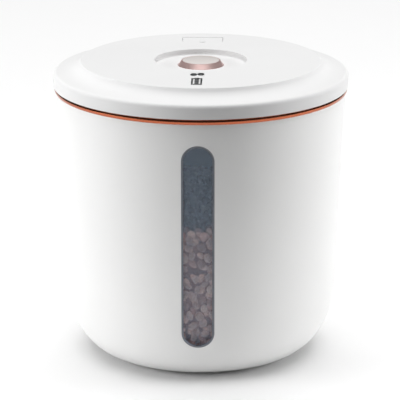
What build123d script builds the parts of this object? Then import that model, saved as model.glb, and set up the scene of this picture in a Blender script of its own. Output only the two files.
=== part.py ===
from build123d import *
import math
import os

# Sealed container for dry pet food, with a vacuum pump and a release button in its lid.
# Millimetres. The origin is the centre of the base, on the surface that the container
# stands on. +Z is up and -Y is the front, where the sight window is.

# --- Overall form ---------------------------------------------------------------------
lid_radius = 140.0
rim_height = 255.0  # top of the container's wall
rim_step = 2.8  # the shell's rim lies this far inside the lid's edge
base_radius = 87.0  # flat part of the bottom
corner_height = 72.0  # height of the round corner between bottom and wall
wall_draft = 2.0  # degrees that the wall leans outwards
foot_stand = 1.5  # the shell's bottom above the surface
fill_height = 147.0  # top of the dry food
fill_crown = 5.0  # rise of the food's top in the middle

# --- Clearances -----------------------------------------------------------------------
slide_gap = 0.4  # between bodies that move past each other
seat_gap = 0.1  # between pieces of one body that seat on each other
shaft_gap = 0.05  # radial, round a shaft or pin
thread_gap = 0.05  # radial, between a screw and the hole that it cuts its thread in

# --- Container ------------------------------------------------------------------------
shell_wall = 2.5
liner_gap = 3.0  # air between the shell and the inner bin
liner_wall = 2.0
liner_flange = 2.5  # thickness of the bin's top flange
window_width = 30.5
window_drop = 19.8  # from the rim down to the window's top
window_rise = 38.2  # from the surface up to the window's bottom
gasket_width = 2.0
lens_recess = 0.3
lens_lip = 4.0  # the lens's flange reaches this far behind the shell
lens_lip_thick = 1.4
foot_radius = 9.0
foot_circle = 68.0
foot_pocket = 1.0
bin_screw_circle = 52.0
bin_boss_radius = 4.5
bin_screw_bite = 2.8  # depth of a bin screw in the bin
food_gap = 0.4

# --- Lid ------------------------------------------------------------------------------
lid_gap = 0.4  # parting line between rim and trim ring
trim_height = 5.0
trim_set_in = 0.7  # the trim's crest lies inside the lid's edge by this much
trim_bulge = 0.9
trim_depth = 6.0
edge_straight = 9.5
edge_width = 4.0  # the lid's rounded edge, across
edge_height = 4.0  # and upwards
skirt_rise = 9.5  # from the lid's edge up to the plateau
skirt_foot = (12.0, 1.2)  # where the skirt leaves the flat, out from the plateau and up
skirt_knee = (4.0, 2.5)  # and where it turns up
plateau_set_in = 26.0  # from the lid's edge in to the plateau
plateau_ease = 0.8  # fillet round the plateau
lid_wall = 2.5
dish_radius = 44.0
dish_depth = 5.0
dish_fillet = 1.6
plug_depth = 12.0  # the lid's plug below the rim
tray_floor = 2.5
tray_wall = 2.6
tray_flange = 2.5
seal_reach = 3.4  # from the plug to the bin's wall
seal_height = 5.0
seal_groove = 1.2
seal_lip = 1.2
lid_screw_set_in = 8.0  # from the plateau's edge in to the screws' circle
lid_screw_count = 6
lid_boss_radius = 4.0
lid_screw_bite = 9.0

# --- Button and release valve ---------------------------------------------------------
button_travel = 3.0
button_top_radius = 17.4
button_flare = 3.3  # the ring widens by this much down to the dish
button_cap_thick = 2.4
button_dome = 0.5
ring_wall = 0.8
ring_skirt = 4.4  # the ring's straight skirt below the dish's floor
plate_thick = 2.0
well_wall = 2.0
web_thick = 2.0
stem_radius = 3.0
switch_offset = 15.0  # the switch's distance in front of the stem
switch_size = 6.0
switch_height = 3.5
plunger_radius = 1.7
plunger_height = 2.4
valve_bore = 4.0
valve_disc = 7.5
valve_disc_thick = 1.7
valve_stem_radius = 1.8
valve_flange_radius = 10.0
valve_flange_thick = 1.5
clip_radius = 6.5
clip_thick = 1.0
clip_height = 13.0  # the clip above the tray's floor
spring_turns = 5
button_spring_radius = 8.0
button_spring_wire = 0.9
valve_spring_radius = 5.2
valve_spring_wire = 0.6

# --- Circuit board and status marks ---------------------------------------------------
board_half_width = 32.0
board_front = -98.0
board_back = -9.0
board_thick = 1.6
board_drop = 2.4  # the board's top below the button's well
board_post_radius = 3.0
board_post_x = 26.0
board_post_ys = (-92.0, -54.0)
board_screw_bite = 6.0
mark_x = -2.0
mark_thick = 0.8
mark_small = (13.0, 13.0, -61.0)  # width, depth and y
mark_large = (10.0, 28.0, -88.5)
light_pipe_radius = 1.5

# --- Power ----------------------------------------------------------------------------
cell_radius = 9.2
cell_length = 65.0
cell_x = -67.0
cell_pitch = 20.0
cell_lift = 1.6  # the cells' underside above the tray
holder_wall = 2.5
holder_height = 8.5
port_y = 86.0
port_width = 9.0
port_depth = 3.3
port_height = 8.0
port_board_size = (24.0, 14.0, 1.5)
cover_width = 39.0
cover_depth = 19.0
cover_thick = 1.6
cover_pocket = 2.0
cover_gap = 0.5
hinge_radius = 1.3
hinge_pin_radius = 0.6
hinge_pin_grip = 2.0
port_block_wall = 3.0
port_block_drop = 4.0

# --- Vacuum pump ----------------------------------------------------------------------
pump_x = 64.0
pump_lift = 15.5  # the motor's axis above the tray's floor
motor_radius = 12.0
motor_wall = 1.0
motor_back = -44.0
motor_length = 32.0
rotor_radius = 8.0
rotor_gap = 3.0  # at each end of the rotor
shaft_radius = 1.0
pump_width = 28.0
pump_length = 26.0
pump_top = 11.0  # the housing's top above the axis
crank_room = 9.0
crank_radius = 4.0
crank_offset = 1.5
crank_width = 10.0
rod_ring = 2.0
rod_width = 8.0
diaphragm_thick = 1.5
valve_head_height = 4.6
barb_radius = 2.0
barb_length = 8.0
hose_wall = 1.5
hose_bend = 10.0
pad_height = 1.6
cradle_height = 8.0
strap_thick = 1.2
strap_width = 10.0
check_y = 58.0
check_radius = 7.0
check_height = 11.0
nipple_radius = 3.0
filter_radius = 16.0
filter_depth = 5.0
filter_wall = 1.6
grille_hole = 1.6

# --- Screws ---------------------------------------------------------------------------
screw_radius = 1.5
screw_head_radius = 2.9
screw_head_height = 1.5
small_screw_radius = 1.1
small_head_radius = 2.2
small_head_height = 1.2

# --- Heights and radii that follow ----------------------------------------------------
rim_radius = lid_radius - rim_step
plateau_radius = lid_radius - plateau_set_in
lid_screw_circle = plateau_radius - lid_screw_set_in
bin_outer = shell_wall + liner_gap
bin_inner = bin_outer + liner_wall
window_height = rim_height - window_drop - window_rise
window_z = window_rise + window_height / 2
trim_bottom = rim_height + lid_gap
trim_top = trim_bottom + trim_height
lid_base = trim_top + seat_gap
edge_z = lid_base + edge_straight
lid_top = edge_z + edge_height + skirt_rise
ceiling = lid_top - lid_wall
dish_floor = lid_top - dish_depth
dish_under = dish_floor - lid_wall
tray_bottom = rim_height - plug_depth
tray_top = tray_bottom + tray_floor
button_base_radius = button_top_radius + seat_gap + ring_wall + button_flare
well_radius = button_base_radius + slide_gap
ring_bottom = dish_floor - ring_skirt
web_top = ring_bottom - button_travel - slide_gap
web_bottom = web_top - web_thick
cap_bottom = lid_top - button_cap_thick
plate_top = cap_bottom - seat_gap
plate_bottom = plate_top - plate_thick
board_top = web_bottom - board_drop
board_bottom = board_top - board_thick
clip_z = tray_top + clip_height
valve_stem_top = clip_z + clip_thick + 2.0
motor_z = tray_top + pump_lift
housing_front = motor_back + motor_length + seat_gap
housing_top = motor_z + pump_top
diaphragm_top = housing_top + seat_gap + diaphragm_thick
head_z = diaphragm_top + seat_gap
hose_z = head_z + valve_head_height / 2
crank_y = housing_front + pump_length / 2
hose_radius = barb_radius + hose_wall
hinge_y = port_y + cover_depth / 2 - hinge_radius
hinge_z = lid_top - hinge_radius
pocket_floor = lid_top - cover_pocket


# --- Helpers --------------------------------------------------------------------------
def post(radius, low, high, x=0.0, y=0.0):
    """Upright cylinder from height low to height high."""
    return Pos(x, y, (low + high) / 2) * Cylinder(radius, high - low)


def tube(outer, inner, low, high, x=0.0, y=0.0):
    """Upright ring from height low to height high."""
    return post(outer, low, high, x, y) - post(inner, low, high, x, y)


def block(x, y, z):
    """Box between the two values of each of x, y and z."""
    size = (x[1] - x[0], y[1] - y[0], z[1] - z[0])
    return Pos((x[0] + x[1]) / 2, (y[0] + y[1]) / 2, (z[0] + z[1]) / 2) * Box(*size)


def lying(radius, start, end, x, z):
    """Cylinder along Y from start to end."""
    return Pos(x, (start + end) / 2, z) * Rot(90, 0, 0) * Cylinder(radius, end - start)


def turned(*edges):
    """Solid turned about Z from edges given as radius and height."""
    return revolve(Plane.XZ * make_face(Curve() + list(edges)), Axis.Z)


def around(count, radius, start=0.0):
    """Points evenly spaced on a circle about Z."""
    angles = [math.radians(start + 360 * i / count) for i in range(count)]
    return [(radius * math.cos(a), radius * math.sin(a)) for a in angles]


def joined(solids):
    """One shape of all the given solids that touch or overlap."""
    result = solids[0]
    for solid in solids[1:]:
        result += solid
    return result


def screw(x, y, low, shank, head, head_height, tip):
    """Countersunk screw that points up, with its flat head's face at height low."""
    cone = Pos(x, y, low + head_height / 2) * Cone(head, shank, head_height)
    return cone + post(shank, low + head_height, tip, x, y)


def screw_hole(x, y, low, high, shank, head, head_height):
    """Clearance hole with a countersink whose wide end is at height low."""
    cone = Pos(x, y, low + head_height / 2) * Cone(head + seat_gap, shank + seat_gap, head_height)
    return cone + post(shank + seat_gap, low, high, x, y)


def spring(radius, wire, low, high):
    """Coil spring that stands between heights low and high."""
    rise = high - low - wire - 2 * seat_gap
    path = Pos(0, 0, low + wire / 2 + seat_gap) * Helix(rise / spring_turns, rise, radius)
    section = Plane(origin=path @ 0, z_dir=path % 0) * Circle(wire / 2)
    return sweep(section, path=path, is_frenet=True)


# --- Container ------------------------------------------------------------------------
def drum_radius(z, inset):
    """Radius of the drum's straight wall at height z, moved inwards by inset."""
    lean = math.radians(wall_draft)
    return rim_radius - (rim_height - z) * math.tan(lean) - inset / math.cos(lean)


def drum(inset, top):
    """Solid of the container's outer form, moved inwards by inset and flat on top."""
    lean = math.radians(wall_draft)
    corner_z = foot_stand + corner_height
    height = corner_height - inset
    reach = (drum_radius(corner_z, inset) - base_radius) * math.cos(lean)
    width = math.sqrt(reach**2 - (height * math.sin(lean)) ** 2) / math.cos(lean)
    end = math.degrees(math.atan2(height * math.sin(lean), width * math.cos(lean)))
    corner = EllipticalCenterArc((base_radius, corner_z), width, height, 270, arc_size=90 - end)
    bottom = Line((0, foot_stand + inset), corner @ 0)
    wall = Line(corner @ 1, (drum_radius(top, inset), top))
    return turned(bottom, corner, wall, Polyline(wall @ 1, (0, top), bottom @ 0))


def window_prism(margin):
    """Upright slot through the front wall, larger than the window by margin all round."""
    slot = SlotOverall(window_height + 2 * margin, window_width + 2 * margin, rotation=90)
    return Pos(0, -base_radius, window_z) * Rot(90, 0, 0) * extrude(slot, amount=lid_radius)


def wall_layer(outer, inner):
    """The drum's wall between two insets."""
    return drum(outer, rim_height) - drum(inner, rim_height + 1)


def outer_shell():
    shell = wall_layer(0, shell_wall) - window_prism(0)
    for x, y in around(4, foot_circle, 45):
        shell -= post(foot_radius + seat_gap, 0, foot_stand + foot_pocket, x, y)
    for x, y in around(4, bin_screw_circle):
        top = foot_stand + shell_wall + 1
        shell -= screw_hole(x, y, foot_stand, top, screw_radius, screw_head_radius, screw_head_height)
    return shell


def inner_bin():
    flange_zone = post(lid_radius, rim_height - liner_flange, rim_height)
    flange = wall_layer(shell_wall + seat_gap, bin_inner) & flange_zone
    liner = wall_layer(bin_outer, bin_inner) + flange
    boss_low = foot_stand + shell_wall + seat_gap
    boss_top = foot_stand + bin_inner
    for x, y in around(4, bin_screw_circle):
        liner += post(bin_boss_radius, boss_low, boss_top, x, y)
        liner -= post(screw_radius + thread_gap, boss_low, boss_low + bin_screw_bite, x, y)
    return liner


def window_lens():
    face = wall_layer(lens_recess, shell_wall + 2 * seat_gap) & window_prism(-gasket_width)
    lip_outer = shell_wall + seat_gap
    lip = wall_layer(lip_outer, lip_outer + lens_lip_thick) & window_prism(lens_lip)
    return face + lip


def window_gasket():
    ring = window_prism(-seat_gap / 2) - window_prism(seat_gap / 2 - gasket_width)
    return wall_layer(lens_recess / 2, shell_wall) & ring


def feet():
    top = foot_stand + foot_pocket - seat_gap
    return Compound([post(foot_radius, 0, top, x, y) for x, y in around(4, foot_circle, 45)])


def bin_screws():
    tip = foot_stand + shell_wall + bin_screw_bite
    return Compound(
        [
            screw(x, y, foot_stand, screw_radius, screw_head_radius, screw_head_height, tip)
            for x, y in around(4, bin_screw_circle)
        ]
    )


def kibble_fill():
    """The dry food, as one closed heap with a slightly crowned top."""
    radius = drum_radius(fill_height, bin_inner + food_gap)
    crown = ThreePointArc(
        (-radius, fill_height), (0, fill_height + fill_crown), (radius, fill_height)
    )
    half = crown.trim(0.5, 1)
    cap = turned(half, Polyline((radius, fill_height), (0, fill_height), half @ 0))
    return drum(bin_inner + food_gap, fill_height) + cap


# --- Lid ------------------------------------------------------------------------------
def lid_form(inset):
    """Solid of the lid's outer form, moved inwards by inset, open below."""
    side = lid_radius - inset
    edge_x = lid_radius - edge_width
    edge = EllipticalCenterArc((edge_x, edge_z), edge_width - inset, edge_height - inset, 0, arc_size=90)
    shoulder = (plateau_radius - inset / 2, lid_top - inset)
    edge_top = edge_z + edge_height - inset
    knee = (plateau_radius + skirt_knee[0], edge_top + skirt_knee[1])
    foot = (plateau_radius + skirt_foot[0], edge_top + skirt_foot[1])
    skirt = Bezier(edge @ 1, foot, knee, shoulder)
    wall = Polyline((0, lid_base), (side, lid_base), edge @ 0)
    top = Polyline(skirt @ 1, (0, lid_top - inset), (0, lid_base))
    return turned(wall, edge, skirt, top)


def dish():
    """Round finger dish about the button."""
    recess = post(dish_radius, dish_floor, lid_top + 1)
    return fillet(recess.edges().sort_by(Axis.Z)[0], dish_fillet)


def button_well():
    """Cup under the dish in which the button slides."""
    cup = post(well_radius + well_wall, web_bottom, dish_floor)
    bore = post(well_radius, web_top, lid_top)
    stem_bore = post(stem_radius + slide_gap, web_bottom, web_top)
    switch_bore = post(switch_size * 0.75, web_bottom, web_top, 0, -switch_offset)
    return cup - bore - stem_bore - switch_bore


def port_pocket():
    """Recess for the charging port's cover, with the port's hole and the hinge's groove."""
    half_width = cover_width / 2 + cover_gap
    half_depth = cover_depth / 2 + cover_gap
    plan = RectangleRounded(2 * half_width, 2 * half_depth, 3.0)
    recess = Pos(0, port_y, pocket_floor) * extrude(plan, amount=cover_pocket + 1)
    hole = block(
        (-port_width / 2 - seat_gap, port_width / 2 + seat_gap),
        (port_y - port_depth / 2 - seat_gap, port_y + port_depth / 2 + seat_gap),
        (ceiling - port_block_drop - 1, pocket_floor + 1),
    )
    groove_low = hinge_z - hinge_radius - slide_gap
    groove = block(
        (-half_width, half_width),
        (hinge_y - hinge_radius - slide_gap, port_y + half_depth),
        (groove_low, lid_top + 1),
    )
    pin_reach = half_width + hinge_pin_grip
    pin_bore = Pos(0, hinge_y, hinge_z) * Rot(0, 90, 0) * Cylinder(
        hinge_pin_radius + shaft_gap, 2 * pin_reach
    )
    notch = Pos(0, port_y - half_depth, lid_top) * Sphere(cover_pocket * 1.6)
    return recess + hole + groove + pin_bore + notch


def port_block():
    """Thicker stretch of the lid under the port's pocket, with two posts for its board."""
    half_width = cover_width / 2 + cover_gap + port_block_wall
    half_depth = cover_depth / 2 + cover_gap + port_block_wall
    low = ceiling - port_block_drop
    body = block(
        (-half_width, half_width), (port_y - half_depth, port_y + half_depth), (low, ceiling)
    )
    for side in (-1, 1):
        body += post(2.0, port_board_top(), low, side * port_board_size[0] * 0.38, port_y)
    return body


def port_board_top():
    return pocket_floor - 0.5 - port_height


def status_pockets():
    cuts = []
    for width, depth, y in (mark_small, mark_large):
        plan = RectangleRounded(width + 2 * seat_gap, depth + 2 * seat_gap, 2.0)
        cuts.append(Pos(mark_x, y, lid_top - mark_thick) * extrude(plan, amount=2))
        cuts.append(post(light_pipe_radius + seat_gap, ceiling - 1, lid_top, mark_x, y))
    return cuts


def lid_top_shell():
    rounded = lid_form(0)
    crest = [e for e in rounded.edges() if abs(e.bounding_box().min.Z - lid_top) < 0.01]
    shell = fillet(crest, plateau_ease) - lid_form(lid_wall)
    shell -= post(lid_radius - lid_wall, lid_base - 1, lid_base + edge_straight / 2)
    shell += post(dish_radius + lid_wall, dish_under, ceiling)
    shell -= dish()
    shell -= post(well_radius, dish_under - 1, lid_top)
    shell += button_well()
    shell += port_block()
    shell -= port_pocket()
    for cut in status_pockets():
        shell -= cut
    for x, y in around(lid_screw_count, lid_screw_circle):
        shell += post(lid_boss_radius, tray_top + seat_gap, ceiling + seat_gap, x, y)
        shell -= post(screw_radius + thread_gap, tray_top, tray_top + lid_screw_bite + 1, x, y)
    for y in board_post_ys:
        for x in (-board_post_x, board_post_x):
            shell += post(board_post_radius, board_top + seat_gap, ceiling + seat_gap, x, y)
            hole_top = board_top + board_screw_bite + 1
            shell -= post(small_screw_radius + thread_gap, board_top, hole_top, x, y)
    return shell


def trim_ring():
    crest = lid_radius - trim_set_in
    foot = crest - trim_bulge
    middle = (trim_bottom + trim_top) / 2
    face = ThreePointArc((foot, trim_bottom), (crest, middle), (foot, trim_top))
    inner = lid_radius - trim_set_in - trim_depth
    back = Polyline((foot, trim_top), (inner, trim_top), (inner, trim_bottom), (foot, trim_bottom))
    return turned(face, back)


def plug_radius():
    return drum_radius(tray_bottom, bin_inner) - seal_reach


def seal_span():
    """Bottom and top of the seal's groove."""
    middle = (tray_bottom + rim_height) / 2 + 1.0
    return middle - seal_height / 2, middle + seal_height / 2


def lid_inner_cover():
    flange_low = trim_bottom + seat_gap
    flange_radius = lid_radius - trim_set_in - trim_depth - seat_gap
    wall_top = flange_low + tray_flange
    cover = post(plug_radius(), tray_bottom, tray_top)
    cover += tube(plug_radius(), plug_radius() - tray_wall, tray_bottom, wall_top)
    cover += tube(flange_radius, plug_radius() - tray_wall, flange_low, wall_top)
    low, high = seal_span()
    cover -= tube(plug_radius() + 1, plug_radius() - seal_groove, low, high)
    for x, y in around(lid_screw_count, lid_screw_circle):
        cover -= screw_hole(
            x, y, tray_bottom, tray_top + 1, screw_radius, screw_head_radius, screw_head_height
        )
    cover -= post(valve_disc - seat_gap, tray_bottom - 1, tray_top + 1)
    cover -= post(nipple_radius + seat_gap, tray_bottom - 1, tray_top + 1, pump_x, check_y)
    return cover


def lid_seal():
    low, high = seal_span()
    inner = plug_radius() - seal_groove + seat_gap
    body = tube(plug_radius() + 0.8, inner, low + seat_gap, high - seat_gap)
    lips = []
    for start in (low + seat_gap, high - seat_gap - seal_lip):
        reach = drum_radius(start, bin_inner) - slide_gap
        lips.append(tube(reach, plug_radius(), start, start + seal_lip))
    return joined([body] + lips)


def lid_screws():
    tip = tray_top + lid_screw_bite
    return Compound(
        [
            screw(x, y, tray_bottom, screw_radius, screw_head_radius, screw_head_height, tip)
            for x, y in around(lid_screw_count, lid_screw_circle)
        ]
    )


# --- Button and release valve ---------------------------------------------------------
def button_cap():
    edge = lid_top - button_dome
    dome = ThreePointArc(
        (-button_top_radius, edge), (0, lid_top), (button_top_radius, edge)
    ).trim(0.5, 1)
    side = Polyline(dome @ 1, (button_top_radius, cap_bottom), (0, cap_bottom), dome @ 0)
    return turned(dome, side)


def button_ring():
    inner = button_top_radius + seat_gap
    top = lid_top - button_dome
    outline = Polyline(
        (inner, top),
        (inner + ring_wall, top),
        (button_base_radius, dish_floor),
        (button_base_radius, ring_bottom),
        (button_base_radius - ring_wall, ring_bottom),
        (button_base_radius - ring_wall, plate_bottom),
        (inner, cap_bottom),
        (inner, top),
    )
    return turned(outline)


def button_stem():
    plate = post(button_top_radius, plate_bottom, plate_top)
    stem = post(stem_radius, valve_stem_top + slide_gap, plate_bottom)
    plunger_top = board_top + switch_height + plunger_height
    pusher_low = plunger_top + button_travel + slide_gap
    pusher = post(plunger_radius, pusher_low, plate_bottom, 0, -switch_offset)
    return plate + stem + pusher


def button_spring():
    return spring(button_spring_radius, button_spring_wire, web_top, plate_bottom)


def valve_seat():
    flange = post(valve_flange_radius, tray_top + seat_gap, tray_top + valve_flange_thick)
    neck = post(valve_disc - 2 * seat_gap, tray_bottom, tray_top + valve_flange_thick)
    bore = post(valve_bore, tray_bottom - 1, tray_top + valve_flange_thick + 1)
    spider = block((-valve_disc + 1, valve_disc - 1), (-0.8, 0.8), (tray_bottom, tray_top))
    spider += block((-0.8, 0.8), (-valve_disc + 1, valve_disc - 1), (tray_bottom, tray_top))
    spider += post(valve_stem_radius + 1, tray_bottom, tray_top)
    stem_bore = post(valve_stem_radius + shaft_gap, tray_bottom - 1, tray_top + 1)
    return flange + neck - bore + spider - stem_bore


def valve_poppet():
    top = tray_bottom - slide_gap
    washer = valve_disc_thick / 2
    disc = post(valve_disc - 1, top - valve_disc_thick, top - washer)
    stem = post(valve_stem_radius, top - washer, valve_stem_top)
    return disc + stem


def valve_washer():
    top = tray_bottom - slide_gap
    low = top - valve_disc_thick / 2 + seat_gap
    return tube(valve_disc, valve_stem_radius + seat_gap, low, top)


def valve_clip():
    return tube(clip_radius, valve_stem_radius + seat_gap / 2, clip_z, clip_z + clip_thick)


def valve_spring():
    return spring(valve_spring_radius, valve_spring_wire, tray_top + valve_flange_thick, clip_z)


# --- Circuit board --------------------------------------------------------------------
def circuit_board():
    board = block(
        (-board_half_width, board_half_width), (board_front, board_back), (board_bottom, board_top)
    )
    for y in board_post_ys:
        for x in (-board_post_x, board_post_x):
            board -= post(small_screw_radius + seat_gap, board_bottom, board_top, x, y)
    chip = block((10, 20), (-80, -70), (board_top, board_top + 1.2))
    for width, depth, y in (mark_small, mark_large):
        board += block((mark_x - 1.5, mark_x + 1.5), (y - 1.2, y + 1.2), (board_top, board_top + 1))
    return board + chip


def board_screws():
    low = board_bottom - small_head_height
    tip = board_top + board_screw_bite
    solids = []
    for y in board_post_ys:
        for x in (-board_post_x, board_post_x):
            head = post(small_head_radius, low, board_bottom - seat_gap, x, y)
            solids.append(head + post(small_screw_radius, low, tip, x, y))
    return Compound(solids)


def press_switch():
    half = switch_size / 2
    low = board_top + seat_gap
    case = block(
        (-half, half), (-switch_offset - half, -switch_offset + half), (low, board_top + switch_height)
    )
    top = board_top + switch_height + plunger_height
    return case + post(plunger_radius, low, top, 0, -switch_offset)


def status_marks():
    solids = []
    for width, depth, y in (mark_small, mark_large):
        plan = RectangleRounded(width, depth, 2.0)
        low = lid_top - mark_thick + seat_gap
        plate = Pos(mark_x, y, low) * extrude(plan, amount=lid_top - low)
        pipe = post(light_pipe_radius, board_top + 2, low, mark_x, y)
        solids.append(plate + pipe)
    return Compound(solids)


# --- Power ----------------------------------------------------------------------------
def cell_axes():
    height = tray_top + cell_lift + cell_radius
    return [(cell_x - cell_pitch / 2, height), (cell_x + cell_pitch / 2, height)]


def battery_cells():
    half = cell_length / 2
    cells = []
    for x, z in cell_axes():
        can = lying(cell_radius, -half, half, x, z)
        cells.append(can + lying(cell_radius * 0.35, half, half + 1.0, x, z))
    return Compound(cells)


def battery_holder():
    half_width = cell_pitch / 2 + cell_radius + holder_wall
    half_length = cell_length / 2 + holder_wall + 1.5
    low = tray_top + seat_gap
    holder = block(
        (cell_x - half_width, cell_x + half_width),
        (-half_length, half_length),
        (low, low + holder_height),
    )
    for x, z in cell_axes():
        holder -= lying(cell_radius + seat_gap, -cell_length / 2 - 1.3, cell_length / 2 + 1.3, x, z)
    return holder


def port_board():
    width, depth, thick = port_board_size
    high = port_board_top() - seat_gap
    span_y = (port_y - depth / 2, port_y + depth / 2)
    return block((-width / 2, width / 2), span_y, (high - thick, high))


def charge_port():
    low = port_board_top()
    outer = RectangleRounded(port_width, port_depth, 1.6)
    inner = RectangleRounded(port_width - 0.8, port_depth - 0.8, 1.2)
    case = Pos(0, port_y, low) * extrude(outer, amount=port_height)
    cavity = Pos(0, port_y, low + 1.5) * extrude(inner, amount=port_height)
    tongue = block((-3.2, 3.2), (port_y - 0.35, port_y + 0.35), (low + 1, low + port_height - 1))
    return case - cavity + tongue


def port_cover():
    """Flap over the charging port, with a barrel on its back edge."""
    front = port_y - cover_depth / 2
    low = lid_top - cover_thick - seat_gap
    plan = RectangleRounded(cover_width, 2 * cover_depth, 2.6)
    sheet = Pos(0, front + cover_depth, low) * extrude(plan, amount=cover_thick)
    keep = block((-cover_width, cover_width), (front - 1, hinge_y), (low - 1, lid_top + 1))
    barrel = Pos(0, hinge_y, hinge_z) * Rot(0, 90, 0) * Cylinder(hinge_radius, cover_width)
    bore = Pos(0, hinge_y, hinge_z) * Rot(0, 90, 0) * Cylinder(
        hinge_pin_radius + shaft_gap, cover_width + 2
    )
    return (sheet & keep) + barrel - bore


def port_pin():
    reach = cover_width / 2 + cover_gap + hinge_pin_grip - seat_gap
    return Pos(0, hinge_y, hinge_z) * Rot(0, 90, 0) * Cylinder(hinge_pin_radius, 2 * reach)


# --- Vacuum pump ----------------------------------------------------------------------
def motor_can():
    end = motor_back + motor_length
    can = lying(motor_radius, motor_back, end, pump_x, motor_z)
    inner = motor_radius - motor_wall
    can -= lying(inner, motor_back + motor_wall, end - motor_wall, pump_x, motor_z)
    return can - lying(shaft_radius + shaft_gap, motor_back + motor_wall, end + 1, pump_x, motor_z)


def motor_rotor():
    start = motor_back + motor_wall + rotor_gap
    end = motor_back + motor_length - motor_wall - rotor_gap
    core = lying(rotor_radius, start, end, pump_x, motor_z)
    bore = lying(shaft_radius + seat_gap / 2, start - 1, end + 1, pump_x, motor_z)
    for angle in range(0, 360, 60):
        slot = lying(1.2, start - 1, end + 1, pump_x + rotor_radius - 0.6, motor_z)
        core -= slot.rotate(Axis((pump_x, 0, motor_z), (0, 1, 0)), angle)
    return core - bore


def motor_shaft():
    start = motor_back + motor_wall + 1
    return lying(shaft_radius, start, crank_y + crank_width / 2, pump_x, motor_z)


def pump_crank():
    start = crank_y - crank_width / 2
    end = crank_y + crank_width / 2
    disc = lying(crank_radius, start, end, pump_x + crank_offset, motor_z)
    return disc - lying(shaft_radius + seat_gap / 2, start - 1, end + 1, pump_x, motor_z)


def pump_housing():
    half = pump_width / 2
    end = housing_front + pump_length
    low = tray_top + seat_gap + pad_height + seat_gap
    body = block((pump_x - half, pump_x + half), (housing_front, end), (low, housing_top))
    room = lying(crank_room, housing_front + 4, end - 4, pump_x, motor_z)
    neck = block((pump_x - 4, pump_x + 4), (crank_y - 5.5, crank_y + 5.5), (motor_z, housing_top + 1))
    bore = lying(shaft_radius + 0.5, housing_front - 1, crank_y, pump_x, motor_z)
    return body - room - neck - bore


def pump_diaphragm():
    """Rubber diaphragm with its connecting rod, which loops round the crank with room to turn."""
    hole = crank_radius + crank_offset + slide_gap
    start = crank_y - rod_width / 2
    end = crank_y + rod_width / 2
    ring = lying(hole + rod_ring, start, end, pump_x, motor_z)
    neck = block((pump_x - 2.5, pump_x + 2.5), (start, end), (motor_z, housing_top + 2 * seat_gap))
    disc = post(pump_width / 2 - 2, housing_top + seat_gap, diaphragm_top, pump_x, crank_y)
    return ring + neck + disc - lying(hole, start - 1, end + 1, pump_x, motor_z)


def pump_head():
    half = pump_width / 2
    end = housing_front + pump_length
    head_top = head_z + valve_head_height
    head = block((pump_x - half, pump_x + half), (housing_front, end), (head_z, head_top))
    head += lying(barb_radius, end, end + barb_length, pump_x, hose_z)
    return head - lying(barb_radius - 0.8, crank_y, end + barb_length + 1, pump_x, hose_z)


def pump_mounts():
    """Two rubber pieces that keep the pump's shake out of the tray."""
    low = tray_top + seat_gap
    half = pump_width / 2 - 2
    pad_y = (housing_front + 2, housing_front + pump_length - 2)
    pad = block((pump_x - half, pump_x + half), pad_y, (low, low + pad_height))
    cradle_y = (motor_back + 5, motor_back + motor_length - 5)
    cradle_x = (pump_x - motor_radius, pump_x + motor_radius)
    cradle = block(cradle_x, cradle_y, (low, low + cradle_height))
    cradle -= lying(motor_radius + seat_gap, motor_back, motor_back + motor_length, pump_x, motor_z)
    return Compound([pad, cradle])


def pump_strap():
    """Metal strap over the motor, with a foot on each side."""
    middle = motor_back + motor_length / 2
    start = middle - strap_width / 2
    end = middle + strap_width / 2
    inner = motor_radius + seat_gap
    outer = inner + strap_thick
    arch = lying(outer, start, end, pump_x, motor_z)
    arch += block((pump_x - outer, pump_x + outer), (start, end), (tray_top + seat_gap, motor_z))
    arch -= lying(inner, start - 1, end + 1, pump_x, motor_z)
    room = (tray_top - 1, motor_z)
    return arch - block((pump_x - inner, pump_x + inner), (start - 1, end + 1), room)


def check_valve():
    low = tray_top + seat_gap
    body = post(check_radius, low, low + check_height, pump_x, check_y)
    body += post(nipple_radius, tray_bottom, low, pump_x, check_y)
    body += post(barb_radius, low + check_height, low + check_height + barb_length, pump_x, check_y)
    return body - post(barb_radius - 0.8, tray_bottom - 1, lid_top, pump_x, check_y)


def air_hose():
    start = housing_front + pump_length + seat_gap
    end = tray_top + 2 * seat_gap + check_height
    path = FilletPolyline(
        (pump_x, start, hose_z), (pump_x, check_y, hose_z), (pump_x, check_y, end), radius=hose_bend
    )
    section = Plane(origin=path @ 0, z_dir=path % 0)
    solid = sweep(section * Circle(hose_radius), path=path)
    return solid - sweep(section * Circle(barb_radius + thread_gap), path=path)


def filter_grille():
    low = tray_bottom - filter_depth
    cap = post(filter_radius, low, tray_bottom - seat_gap, pump_x, check_y)
    inner = filter_radius - filter_wall
    cap -= post(inner, low + filter_wall, tray_bottom, pump_x, check_y)
    for ring_radius, count in ((4.5, 6), (9.0, 12)):
        for x, y in around(count, ring_radius):
            cap -= post(grille_hole, low - 1, low + filter_wall + 1, pump_x + x, check_y + y)
    return cap


def filter_pad():
    low = tray_bottom - filter_depth + filter_wall + seat_gap
    return post(filter_radius - filter_wall - seat_gap, low, tray_bottom - 2 * seat_gap, pump_x, check_y)


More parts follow.
